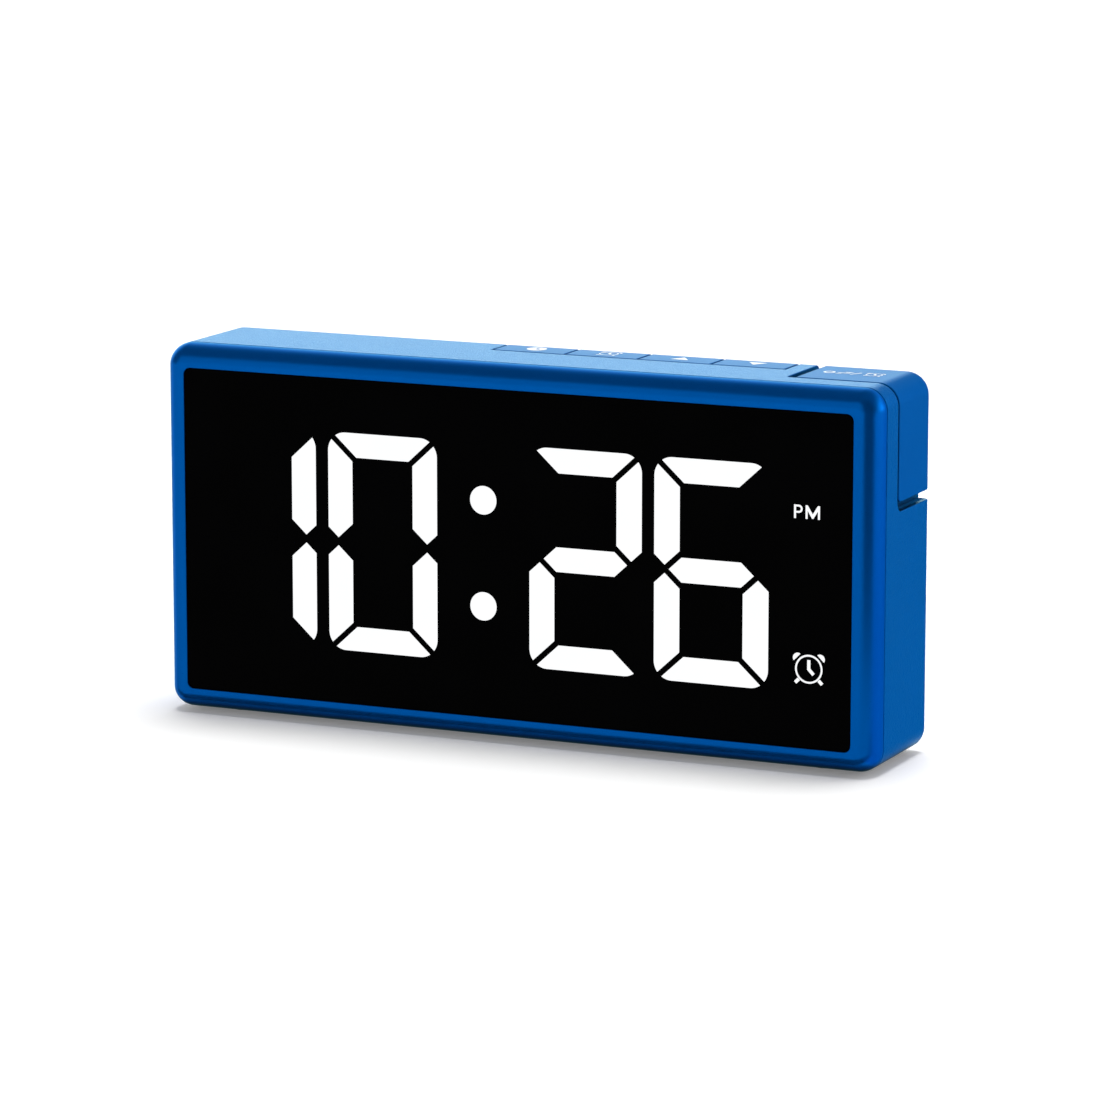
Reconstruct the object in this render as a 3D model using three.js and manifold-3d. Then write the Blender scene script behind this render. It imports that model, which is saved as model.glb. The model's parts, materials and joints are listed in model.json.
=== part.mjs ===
// Bedside LED alarm clock: a blue two-part case, a flush dark display window, four flush keys on
// top, a sprung snooze cap that wraps one corner, and the electronics that these need.
// Millimetres, +Z up. The origin is under the middle of the clock, on the surface it stands on.
// The display faces -Y and +X is to the right of someone who looks at the display.

import * as THREE from 'three';
import { mergeVertices } from 'three/addons/utils/BufferGeometryUtils.js';
import Module from 'manifold-3d';

const wasm = await Module();
wasm.setup();

// ---------------------------------------------------------------- driving dimensions

// Case
const CASE_WIDTH = 155;
const CASE_DEPTH = 29;
const CASE_HEIGHT = 75.4;
const FOOT_DROP = 0.6;            // how far the feet stand out under the case
const CORNER_RADIUS = 4.5;        // of the case outline, seen from the front
const CORNER_STEPS = 8;           // facets in each of those corners
const FRONT_ROUND = { inset: 3.9, depth: 5.2 };   // elliptical round from the display face to the seam
const BACK_ROUND = { inset: 1.2, depth: 1.2 };
const WALL = 2;
const SEAM_DEPTH = FRONT_ROUND.depth;
const SEAM_GAP = 0.2;
const CLEARANCE = 0.3;            // between separate pieces that meet

const LEFT = -CASE_WIDTH / 2;
const RIGHT = CASE_WIDTH / 2;
const FRONT = -CASE_DEPTH / 2;
const BACK = CASE_DEPTH / 2;
const BOTTOM = FOOT_DROP;
const TOP = BOTTOM + CASE_HEIGHT;
const MIDDLE_Z = (TOP + BOTTOM) / 2;
const SEAM = FRONT + SEAM_DEPTH;

// Display window
const LENS_WIDTH = 144.9;
const LENS_HEIGHT = 66;
const LENS_RADIUS = 1.4;
const LENS_THICKNESS = 2;
const LENS_RECESS = 0.2;
const LENS_GAP = 0.12;
const LENS_LEFT = -LENS_WIDTH / 2;
const LENS_BACK = FRONT + LENS_RECESS + LENS_THICKNESS;
const LEDGE = LENS_BACK + 0.4;    // face that the window is glued to
const LEDGE_WIDTH = 2.6;
const OPENING_RADIUS = 1;
const TAPE_INSET = 0.3;           // from the window's edge to the tape, and from the tape to the opening
const TAPE_GAP = 0.1;
const BEZEL_PLATE_BACK = FRONT + 4.6;
const TONGUE_THICKNESS = 1;
const TONGUE_DEPTH = 1.8;

// Seven-segment digits
const DIGIT_WIDTH = 24.15;
const DIGIT_HEIGHT = 44.4;
const DIGIT_CORNER = 3.8;
const UPRIGHT_BAR = 5.4;          // width of the upright segments
const LEVEL_BAR = 4.95;           // height of the level segments
const SEGMENT_GAP = 1.2;
const ELBOW_INSET = 2.22;         // where the three middle segments meet, in from the side
const DIGIT_LEFTS = [5.5, 32.45, 76.8, 103.6].map((x) => LENS_LEFT + x);
const DIGIT_MIDDLE_Z = MIDDLE_Z + 0.05;
const COLON_X = LENS_LEFT + 66.75;
const COLON_RISE = 10.7;          // each dot's height above and below the digits' middle
const COLON_RADIUS = 2.88;
const STATUS_X = LENS_LEFT + 135.9;
const PM_Z = MIDDLE_Z + 13.7;
const ALARM_Z = MIDDLE_Z - 17.2;

// Display stack, from the window back
const FILM_THICKNESS = 0.15;
const GUIDE_FRONT = LEDGE + 0.1;
const GUIDE_WEB_BACK = -5.3;
const GUIDE_WEB = 0.9;
const REFLECTOR_BACK = -5.2;
const FLANGE_FRONT = BEZEL_PLATE_BACK + CLEARANCE;
const FLANGE_THICKNESS = 1.2;
const DISPLAY_PCB_FRONT = -4.3;
const PCB_THICKNESS = 1.6;
const LED_HEIGHT = 0.6;

// Keys
const KEY_NAMES = ['clock_key', 'alarm_key', 'up_key', 'down_key'];
const KEY_PITCH = 15.85;
const KEYS_LEFT = -13.2;
const KEY_FRONT = FRONT + 20.35;
const KEY_GAP = 0.4;
const KEY_PLATE = 1.8;
const KEY_SKIRT_BOTTOM = TOP - 4;
const KEY_SHELF_TOP = TOP - 4.7;
const SHELF_THICKNESS = 1.5;
const STEM_HALF_X = 2.2;
const STEM_HALF_Y = 1.7;
const PRESSER_BOTTOM = TOP - 8.7; // underside of every stem that presses a switch
const KEY_Y = KEY_FRONT + 3.3;    // middle of the stems and switches

// Snooze cap
const SNOOZE_LEFT = 55.8;
const SNOOZE_FRONT = FRONT + 12;
const SNOOZE_BOTTOM = BOTTOM + 52.15;
const SNOOZE_PLATE = 1.8;
const SNOOZE_GROOVE = 1.65;       // open groove at the cap's left end
const SNOOZE_SLOT = 1.85;         // open slot under the cap's lower end
const SNOOZE_GAP = 0.6;
const SNOOZE_CORNER = 1.5;        // seen from the side, at the cap's lower front corner
const RECESS_CORNER = 2.2;        // the same corner of the recess
const SNOOZE_PLAN_CORNER = 0.9;   // seen from above, at the cap's left front corner
const RECESS_PLAN_CORNER = 1.2;   // the same corner of the recess
const RECESS_TOP = TOP - 3.2;     // floor of the recess under the cap
const RECESS_SIDE = RIGHT - 2.2;  // wall of the recess beside the cap
const RECESS_WALL = 1.5;
const SNOOZE_POSTS = [59.4, 70.6];
const SNOOZE_SWITCH_X = 65;
const SNOOZE_Y = 6;
const WELL_RADIUS = 2.8;
const WELL_WALL = 0.9;
const WELL_BOTTOM = RECESS_TOP - 6.2;
const POST_RADIUS = 1.6;
const SPRING_RADIUS = 2.2;
const SPRING_WIRE = 0.25;

// Switch board
const KEY_PCB_TOP = BOTTOM + 60.6;
const KEY_PCB_FRONT = -1.8;
const SWITCH_SIZE = 6;
const SWITCH_HEIGHT = 4;
const PLUNGER_RADIUS = 1.5;

// Fasteners
const CASE_SCREWS = [[-66, 8.7], [66, 8.7], [-72.1, 44.5], [72.1, 44.5]];
const DISPLAY_SCREWS = [[-45, 5.8], [45, 5.8], [-45, 70.8], [45, 70.8]];
const BOSS_SPLIT = 2.1;           // where the bezel's posts meet the housing's bosses
const CASE_POST = { radius: 2.8, pilot: 1.4, pilotEnd: -4.5 };
const CASE_BOSS = { radius: 3.3, hole: 1.5, headHole: 2.6, seat: 5.4 };
const CASE_SCREW = { seat: 5.7, headRadius: 2.2, headHeight: 1.8, shankRadius: 1.1, end: -3.5 };
const DISPLAY_SCREW = { hole: 1.1, headRadius: 1.9, headHeight: 1.2, shankRadius: 0.8 };
const SCREW_SLOT_HALF = 0.25;

// Battery bay
const BAY_HALF_WIDTH = 25.6;
const BAY_BOTTOM = 10;
const BAY_TOP = 33.4;
const BAY_FRONT = 1.9;
const BAY_WALL = 1;
const DOOR_HALF_WIDTH = 27.6;
const DOOR_TOP = 35.2;
const DOOR_THICKNESS = 1.8;
const DOOR_PIVOT = { y: BACK - 1.2, z: 8.9, radius: 1.2, pinRadius: 0.5, pinLength: 0.8 };
const CELL_RADIUS = 5.2;
const CELL_LENGTH = 44;
const CELL_Y = 7.25;
const CELL_ZS = [15.9, 27.5];

// Main board, speaker and inlet
const MAIN_PCB = { left: 32, right: 62, bottom: 12, top: 50, front: 3.4 };
const INLET = { x: 47, z: 20, width: 8.9, height: 3.2, wall: 0.35 };
const SPEAKER = { x: -50, z: 26, radius: 14, depth: 5.4 };
const GRILLE_RINGS = [[0, 1], [4.2, 6], [8.4, 12]];
const GRILLE_HOLE = 0.9;

// Ledges under the switch board, studs for the main board, and the door's latch
const LEDGE_XS = [-14, 22, 54];
const LEDGE_HEIGHT = 3;
const STUD_RADIUS = 2;
const LATCH = { halfWidth: 4, notchHalfWidth: 6, rise: 1.6, notchRise: 2.6 };
const RIB_DROPS = [2.2, 4, 5.8];  // grooves for a finger, down from the door's top
const RIB = { halfWidth: 5, height: 0.7, depth: 0.5 };

// Feet
const FOOT_XS = [-64, 64];
const FOOT_YS = [-4.9, 9.6];
const FOOT_RADIUS = 3.6;
const FOOT_SOCKET = 0.9;

// ---------------------------------------------------------------- solid helpers

/** A closed three.js geometry as a solid that can be cut and joined. */
function solid(geometry) {
  const bare = geometry.index ? geometry.toNonIndexed() : geometry.clone();
  for (const name of Object.keys(bare.attributes)) {
    if (name !== 'position') bare.deleteAttribute(name);
  }
  const merged = mergeVertices(bare, 1e-4);
  return new wasm.Manifold(new wasm.Mesh({
    numProp: 3,
    vertProperties: new Float32Array(merged.attributes.position.array),
    triVerts: new Uint32Array(merged.index.array),
  }));
}

/** A solid as a geometry. */
function geometryOf(body) {
  const mesh = body.getMesh();
  const geometry = new THREE.BufferGeometry();
  const points = new Float32Array(mesh.numVert * 3);
  for (let i = 0; i < mesh.numVert; i += 1) {
    for (let k = 0; k < 3; k += 1) {
      points[3 * i + k] = mesh.vertProperties[mesh.numProp * i + k];
    }
  }
  geometry.setAttribute('position', new THREE.BufferAttribute(points, 3));
  geometry.setIndex(new THREE.BufferAttribute(new Uint32Array(mesh.triVerts), 1));
  geometry.computeVertexNormals();
  return geometry;
}

// A cut runs at least 1 past every face that it opens.

/** A block between two corners. */
function block(x0, x1, y0, y1, z0, z1) {
  const geometry = new THREE.BoxGeometry(x1 - x0, y1 - y0, z1 - z0);
  geometry.translate((x0 + x1) / 2, (y0 + y1) / 2, (z0 + z1) / 2);
  return solid(geometry);
}

/** A round bar along +X. */
function barX(y, z, radius, x0, x1, sides = 16) {
  const geometry = new THREE.CylinderGeometry(radius, radius, x1 - x0, sides);
  geometry.rotateZ(Math.PI / 2);
  geometry.translate((x0 + x1) / 2, y, z);
  return solid(geometry);
}

/** A round bar along +Y. */
function barY(x, z, radius, y0, y1, sides = 16) {
  const geometry = new THREE.CylinderGeometry(radius, radius, y1 - y0, sides);
  geometry.translate(x, (y0 + y1) / 2, z);
  return solid(geometry);
}

/** A round bar along +Z. */
function barZ(x, y, radius, z0, z1, sides = 16) {
  const geometry = new THREE.CylinderGeometry(radius, radius, z1 - z0, sides);
  geometry.rotateX(Math.PI / 2);
  geometry.translate(x, y, (z0 + z1) / 2);
  return solid(geometry);
}

/** A rectangle with round corners, drawn in the display's plane. */
function roundedRectangle(x0, x1, z0, z1, radius) {
  const shape = new THREE.Shape();
  shape.moveTo(x0 + radius, z0);
  shape.lineTo(x1 - radius, z0);
  shape.absarc(x1 - radius, z0 + radius, radius, -Math.PI / 2, 0, false);
  shape.lineTo(x1, z1 - radius);
  shape.absarc(x1 - radius, z1 - radius, radius, 0, Math.PI / 2, false);
  shape.lineTo(x0 + radius, z1);
  shape.absarc(x0 + radius, z1 - radius, radius, Math.PI / 2, Math.PI, false);
  shape.lineTo(x0, z0 + radius);
  shape.absarc(x0 + radius, z0 + radius, radius, Math.PI, Math.PI * 1.5, false);
  return shape;
}

/** A shape in the display's plane, extruded from y0 back to y1. */
function slab(shape, y0, y1, curveSegments = 3) {
  const geometry = new THREE.ExtrudeGeometry(shape, {
    depth: y1 - y0,
    bevelEnabled: false,
    curveSegments,
  });
  geometry.rotateX(Math.PI / 2);
  geometry.translate(0, y1, 0);
  return solid(geometry);
}

/** What rounding a lower front corner takes off, along +X to the right of x0. */
function lowerFrontCorner(x0, y, z, radius) {
  return block(x0, RIGHT + 4, y - 1, y + radius, z - 1, z + radius)
    .subtract(barX(y + radius, z + radius, radius, x0 - 1, RIGHT + 5, 32));
}

/** What rounding an upright left front corner takes off, from z0 up. */
function leftFrontCorner(x, y, z0, radius) {
  return block(x - 1, x + radius, y - 1, y + radius, z0, TOP + 6)
    .subtract(barZ(x + radius, y + radius, radius, z0 - 1, TOP + 7, 32));
}

/** A rounded block that fills the case outline, set in by inset, from y0 to y1. */
function caseSlab(inset, y0, y1) {
  const radius = Math.max(CORNER_RADIUS - inset, 1);
  const outline = roundedRectangle(
    LEFT + inset, RIGHT - inset, BOTTOM + inset, TOP - inset, radius);
  return slab(outline, y0, y1);
}

/** The case outline as a block with the same round edge at the front and at the back. */
function roundedCase(edge, arcSteps) {
  const outline = roundedRectangle(LEFT, RIGHT, BOTTOM, TOP, CORNER_RADIUS);
  const geometry = new THREE.ExtrudeGeometry(outline, {
    depth: CASE_DEPTH - 2 * edge.depth,
    bevelThickness: edge.depth,
    bevelSize: edge.inset,
    bevelOffset: -edge.inset,
    bevelSegments: arcSteps,
    curveSegments: CORNER_STEPS,
  });
  geometry.rotateX(Math.PI / 2);
  geometry.translate(0, BACK - edge.depth, 0);
  return solid(geometry);
}

const frontForm = roundedCase(FRONT_ROUND, 12);
const backForm = roundedCase(BACK_ROUND, 3);

/** A ring or cup turned about +Z: profile points are [radius, height]. */
function turnedZ(profile, x, y, sides = 16) {
  const points = profile.map(([r, z]) => new THREE.Vector2(r, z));
  const geometry = new THREE.LatheGeometry([...points, points[0]], sides);
  geometry.rotateX(Math.PI / 2);
  geometry.translate(x, y, 0);
  return solid(geometry);
}

/** A tube of round wire along a curve. */
function wire(curve, radius, steps, sides) {
  const section = new THREE.Shape();
  section.absarc(0, 0, radius, 0, Math.PI * 2, false);
  return new THREE.ExtrudeGeometry(section, {
    steps,
    extrudePath: curve,
    curveSegments: sides,
    bevelEnabled: false,
  });
}

// ---------------------------------------------------------------- colours

const COLOURS = {
  caseBlue: { color: '#0059a6', roughness: 0.5, metalness: 0 },
  lensBlack: { color: '#020203', roughness: 0.08, metalness: 0 },
  lit: { color: '#ffffff', roughness: 0.5, metalness: 0, emissive: '#ffffff' },
  reflectorWhite: { color: '#e8e8e4', roughness: 0.6, metalness: 0 },
  film: { color: '#d9dcdc', roughness: 0.4, metalness: 0 },
  tape: { color: '#1b1b1c', roughness: 0.9, metalness: 0 },
  board: { color: '#1e5a38', roughness: 0.5, metalness: 0 },
  steel: { color: '#a9adb1', roughness: 0.35, metalness: 1 },
  switchBlack: { color: '#1b1c1e', roughness: 0.6, metalness: 0 },
  rubber: { color: '#2a2b2d', roughness: 0.9, metalness: 0 },
  cell: { color: '#b9bdc2', roughness: 0.4, metalness: 0.6 },
  ribbon: { color: '#c9c7bd', roughness: 0.6, metalness: 0 },
};

const clock = new THREE.Group();

/** Adds one named piece to the clock. */
function add(name, body, colour) {
  const geometry = body.isBufferGeometry ? body : geometryOf(body);
  const mesh = new THREE.Mesh(geometry, new THREE.MeshStandardMaterial(COLOURS[colour]));
  mesh.name = name;
  clock.add(mesh);
  return mesh;
}

// ---------------------------------------------------------------- seven-segment shapes

/** Keeps the part of a convex outline that lies behind a line: the line goes through
 *  (x, z), the normal (nx, nz) points away from the part kept, and gap sets the line back. */
function trim(outline, [x, z, nx, nz, gap]) {
  const length = Math.hypot(nx, nz);
  const over = (p) => ((p.x - x) * nx + (p.y - z) * nz) / length + gap;
  const kept = [];
  outline.forEach((point, i) => {
    const next = outline[(i + 1) % outline.length];
    const here = over(point);
    const there = over(next);
    if (here <= 0) kept.push(point);
    if (here * there < 0) kept.push(point.clone().lerp(next, here / (here - there)));
  });
  return kept;
}

/** Outlines of the seven segments, grown all round by grow. The digit's left edge is at 0 and
 *  its middle at z = 0. */
function segmentOutlines(grow) {
  const w = DIGIT_WIDTH;
  const h = DIGIT_HEIGHT / 2;
  const edge = -grow;
  const mitre = SEGMENT_GAP / 2 - grow;
  const run = UPRIGHT_BAR;
  const rise = LEVEL_BAR;
  const box = roundedRectangle(-grow, w + grow, -h - grow, h + grow, DIGIT_CORNER + grow)
    .getPoints(3).slice(0, -1);
  const cut = (lines) => lines.reduce(trim, box);
  const top = cut([
    [0, h - rise, 0, -1, edge],
    [0, h, -rise, -run, mitre],
    [w, h, rise, -run, mitre],
  ]);
  const upperLeft = cut([
    [run, 0, 1, 0, edge],
    [0, h, rise, run, mitre],
    [ELBOW_INSET, 0, rise, -run, mitre],
    [ELBOW_INSET, 0, -rise, -run, mitre],
  ]);
  const middle = cut([
    [0, rise / 2, 0, 1, edge],
    [0, -rise / 2, 0, -1, edge],
    [ELBOW_INSET, 0, -rise, run, mitre],
    [ELBOW_INSET, 0, -rise, -run, mitre],
    [w - ELBOW_INSET, 0, rise, run, mitre],
    [w - ELBOW_INSET, 0, rise, -run, mitre],
  ]);
  const flipX = (outline) => outline.map((p) => new THREE.Vector2(w - p.x, p.y)).reverse();
  const flipZ = (outline) => outline.map((p) => new THREE.Vector2(p.x, -p.y)).reverse();
  return [
    top, flipZ(top), middle,
    upperLeft, flipX(upperLeft), flipZ(upperLeft), flipZ(flipX(upperLeft)),
  ];
}

/** The outlines as shapes at a digit's place. */
function segmentShapes(left, grow) {
  const place = new THREE.Vector2(left, DIGIT_MIDDLE_Z);
  return segmentOutlines(grow)
    .map((outline) => new THREE.Shape(outline.map((p) => p.clone().add(place))));
}

// ---------------------------------------------------------------- case front

function makeBezel() {
  let body = frontForm.intersect(block(LEFT - 1, RIGHT + 1, FRONT - 1, SEAM, BOTTOM - 1, TOP + 1));
  const pocket = roundedRectangle(
    LENS_LEFT - LENS_GAP, -LENS_LEFT + LENS_GAP,
    MIDDLE_Z - LENS_HEIGHT / 2 - LENS_GAP, MIDDLE_Z + LENS_HEIGHT / 2 + LENS_GAP, LENS_RADIUS);
  body = body.subtract(slab(pocket, FRONT - 1, LEDGE));
  const opening = roundedRectangle(
    LENS_LEFT + LEDGE_WIDTH, -LENS_LEFT - LEDGE_WIDTH,
    MIDDLE_Z - LENS_HEIGHT / 2 + LEDGE_WIDTH, MIDDLE_Z + LENS_HEIGHT / 2 - LEDGE_WIDTH, OPENING_RADIUS);
  body = body.subtract(slab(opening, FRONT, SEAM));
  const rimInset = WALL + SEAM_GAP + TONGUE_THICKNESS;
  body = body.subtract(caseSlab(rimInset, BEZEL_PLATE_BACK, SEAM + 1));
  const tongue = caseSlab(WALL + SEAM_GAP, SEAM - 0.5, SEAM + TONGUE_DEPTH)
    .subtract(caseSlab(rimInset, SEAM - 1, SEAM + TONGUE_DEPTH + 1));
  body = body.add(tongue);
  for (const [x, z] of CASE_SCREWS) {
    body = body.add(barY(x, z, CASE_POST.radius, BEZEL_PLATE_BACK - 0.5, BOSS_SPLIT));
    body = body.subtract(barY(x, z, CASE_POST.pilot, CASE_POST.pilotEnd, BOSS_SPLIT + 1, 10));
  }
  for (const [x, z] of DISPLAY_SCREWS) {
    body = body.subtract(barY(x, z, DISPLAY_SCREW.hole,
      BEZEL_PLATE_BACK - 1.6, BEZEL_PLATE_BACK + 1, 10));
  }
  return body;
}

function makeLens() {
  const outline = roundedRectangle(
    LENS_LEFT, -LENS_LEFT, MIDDLE_Z - LENS_HEIGHT / 2, MIDDLE_Z + LENS_HEIGHT / 2, LENS_RADIUS);
  return slab(outline, LENS_BACK - LENS_THICKNESS, LENS_BACK);
}

function makeGasket() {
  const front = LENS_BACK + TAPE_GAP;
  const back = LEDGE - TAPE_GAP;
  const frame = (inset, radius) => roundedRectangle(
    LENS_LEFT + inset, -LENS_LEFT - inset,
    MIDDLE_Z - LENS_HEIGHT / 2 + inset, MIDDLE_Z + LENS_HEIGHT / 2 - inset, radius);
  const outer = frame(TAPE_INSET, LENS_RADIUS - 0.2);
  const inner = frame(LEDGE_WIDTH - TAPE_INSET, OPENING_RADIUS);
  return slab(outer, front, back).subtract(slab(inner, front - 1, back + 1));
}

add('front_bezel', makeBezel(), 'caseBlue');
add('display_lens', makeLens(), 'lensBlack');
add('lens_gasket', makeGasket(), 'tape');
const filmInset = LEDGE_WIDTH + 0.4;
const filmFront = LENS_BACK + TAPE_GAP;
add('diffuser_film', block(
  LENS_LEFT + filmInset, -LENS_LEFT - filmInset, filmFront, filmFront + FILM_THICKNESS,
  MIDDLE_Z - LENS_HEIGHT / 2 + filmInset, MIDDLE_Z + LENS_HEIGHT / 2 - filmInset), 'film');

// ---------------------------------------------------------------- display behind the window

const REFLECTOR = {
  left: -69, right: 68.4, bottom: DIGIT_MIDDLE_Z - 25, top: DIGIT_MIDDLE_Z + 25,
};
const WEB_FRONT = GUIDE_WEB_BACK - GUIDE_WEB;
const WEB_HALF = 2;               // half the width of the web between two small lights
const PM_HALF_HEIGHT = 2;
const STATUS_HALF = 3.6;
const STATUS_LIGHTS = [[PM_Z, PM_HALF_HEIGHT], [ALARM_Z, STATUS_HALF]];
const LED_HALF = { x: 1.2, z: 0.8 };

/** A digit's light guide: seven lit columns on one web. */
function makeDigitGuide(left) {
  const web = block(
    left + 0.4, left + DIGIT_WIDTH - 0.4, WEB_FRONT, GUIDE_WEB_BACK,
    DIGIT_MIDDLE_Z - DIGIT_HEIGHT / 2 + 0.4, DIGIT_MIDDLE_Z + DIGIT_HEIGHT / 2 - 0.4);
  return segmentShapes(left, -0.1)
    .reduce((body, shape) => body.add(slab(shape, GUIDE_FRONT, WEB_FRONT + 0.3)), web);
}

function makeColonGuide() {
  let body = block(COLON_X - WEB_HALF, COLON_X + WEB_HALF, WEB_FRONT, GUIDE_WEB_BACK,
    DIGIT_MIDDLE_Z - COLON_RISE - WEB_HALF, DIGIT_MIDDLE_Z + COLON_RISE + WEB_HALF);
  for (const side of [-1, 1]) {
    const z = DIGIT_MIDDLE_Z + side * COLON_RISE;
    body = body.add(barY(COLON_X, z, COLON_RADIUS - 0.2, GUIDE_FRONT, WEB_FRONT + 0.3, 20));
  }
  return body;
}

function makeStatusGuide() {
  let body = block(STATUS_X - WEB_HALF, STATUS_X + WEB_HALF, WEB_FRONT, GUIDE_WEB_BACK,
    ALARM_Z - 3, PM_Z + 1.5);
  for (const [z, halfHeight] of STATUS_LIGHTS) {
    body = body.add(block(STATUS_X - STATUS_HALF, STATUS_X + STATUS_HALF,
      GUIDE_FRONT, WEB_FRONT + 0.3, z - halfHeight, z + halfHeight));
  }
  return body;
}

function makeReflector() {
  const { left, right, bottom, top } = REFLECTOR;
  let body = block(left, right, GUIDE_FRONT, REFLECTOR_BACK, bottom, top);
  const flange = caseSlab(WALL + SEAM_GAP + TONGUE_THICKNESS + 0.4,
    FLANGE_FRONT, FLANGE_FRONT + FLANGE_THICKNESS);
  body = body.add(flange);
  for (const [x, z] of CASE_SCREWS) {
    body = body.subtract(barY(x, z, CASE_POST.radius + 0.4, GUIDE_FRONT - 1, BOSS_SPLIT));
  }
  for (const [x, z] of DISPLAY_SCREWS) {
    body = body.subtract(barY(x, z, DISPLAY_SCREW.hole, GUIDE_FRONT - 1, BOSS_SPLIT, 10));
  }
  const webZone = WEB_FRONT - CLEARANCE;
  for (const left0 of DIGIT_LEFTS) {
    for (const shape of segmentShapes(left0, 0.3)) {
      body = body.subtract(slab(shape, GUIDE_FRONT - 1, webZone + 0.2));
    }
    body = body.subtract(block(left0 - 0.1, left0 + DIGIT_WIDTH + 0.1, webZone, REFLECTOR_BACK + 1,
      DIGIT_MIDDLE_Z - DIGIT_HEIGHT / 2 - 0.1, DIGIT_MIDDLE_Z + DIGIT_HEIGHT / 2 + 0.1));
  }
  for (const side of [-1, 1]) {
    const z = DIGIT_MIDDLE_Z + side * COLON_RISE;
    body = body.subtract(barY(COLON_X, z, COLON_RADIUS + 0.2, GUIDE_FRONT - 1, REFLECTOR_BACK + 1, 20));
  }
  const slot = WEB_HALF + 0.4;
  body = body.subtract(block(COLON_X - slot, COLON_X + slot, webZone, REFLECTOR_BACK + 1,
    DIGIT_MIDDLE_Z - COLON_RISE - slot, DIGIT_MIDDLE_Z + COLON_RISE + slot));
  for (const [z, halfHeight] of STATUS_LIGHTS) {
    body = body.subtract(block(
      STATUS_X - STATUS_HALF - CLEARANCE, STATUS_X + STATUS_HALF + CLEARANCE,
      GUIDE_FRONT - 1, REFLECTOR_BACK + 1, z - halfHeight - CLEARANCE, z + halfHeight + CLEARANCE));
  }
  return body.subtract(block(STATUS_X - slot, STATUS_X + slot, webZone, REFLECTOR_BACK + 1,
    ALARM_Z - 3.4, PM_Z + 1.9));
}

add('reflector_frame', makeReflector(), 'reflectorWhite');
['hour_tens_light_guide', 'hour_light_guide', 'minute_tens_light_guide', 'minute_light_guide']
  .forEach((name, i) => add(name, makeDigitGuide(DIGIT_LEFTS[i]), 'lit'));
add('colon_light_guide', makeColonGuide(), 'lit');
add('status_light_guide', makeStatusGuide(), 'lit');

function makeDisplayBoard() {
  const { bottom, top } = REFLECTOR;
  const back = DISPLAY_PCB_FRONT + PCB_THICKNESS;
  let body = block(-69, 69, DISPLAY_PCB_FRONT, back, bottom - 1.2, top + 1.2);
  const led = (x, z) => block(x - LED_HALF.x, x + LED_HALF.x,
    DISPLAY_PCB_FRONT - LED_HEIGHT, DISPLAY_PCB_FRONT + 0.2, z - LED_HALF.z, z + LED_HALF.z);
  for (const left of DIGIT_LEFTS) {
    for (const outline of segmentOutlines(0)) {
      const centre = new THREE.Box2().setFromPoints(outline).getCenter(new THREE.Vector2());
      body = body.add(led(left + centre.x, DIGIT_MIDDLE_Z + centre.y));
    }
  }
  body = body.add(led(COLON_X, DIGIT_MIDDLE_Z + COLON_RISE));
  body = body.add(led(COLON_X, DIGIT_MIDDLE_Z - COLON_RISE));
  body = body.add(led(STATUS_X, PM_Z));
  return body.add(led(STATUS_X, ALARM_Z));
}

/** A cross-head screw along +Y whose head's underside is at y, with a shank to the front. */
function makeScrew(x, z, y, { headRadius, headHeight, shankRadius }, shankEnd) {
  const reach = headRadius * 0.6;
  const half = SCREW_SLOT_HALF;
  const slotFloor = y + headHeight / 2;
  const slotTop = y + headHeight + 1;
  const head = barY(x, z, headRadius, y, y + headHeight)
    .subtract(block(x - reach, x + reach, slotFloor, slotTop, z - half, z + half))
    .subtract(block(x - half, x + half, slotFloor, slotTop, z - reach, z + reach));
  return head.add(barY(x, z, shankRadius, shankEnd, y + 0.2, 8));
}

add('display_pcb', makeDisplayBoard(), 'board');
DISPLAY_SCREWS.forEach(([x, z], i) => add(`display_screw_${i + 1}`,
  makeScrew(x, z, FLANGE_FRONT + FLANGE_THICKNESS + 0.1, DISPLAY_SCREW, BEZEL_PLATE_BACK - 1.3),
  'steel'));

// ---------------------------------------------------------------- rear housing

const bay = {
  outer: () => block(-BAY_HALF_WIDTH - 3, BAY_HALF_WIDTH + 3, BAY_FRONT - BAY_WALL, BACK,
    BAY_BOTTOM - 4.7, BAY_TOP + 3),
  inside: () => block(-BAY_HALF_WIDTH, BAY_HALF_WIDTH, BAY_FRONT, BACK + 1, BAY_BOTTOM, BAY_TOP),
  doorSeat: () => block(
    -DOOR_HALF_WIDTH - CLEARANCE, DOOR_HALF_WIDTH + CLEARANCE, BACK - DOOR_THICKNESS - CLEARANCE,
    BACK + 1, DOOR_PIVOT.z - DOOR_PIVOT.radius - CLEARANCE, DOOR_TOP + CLEARANCE),
};

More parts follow.
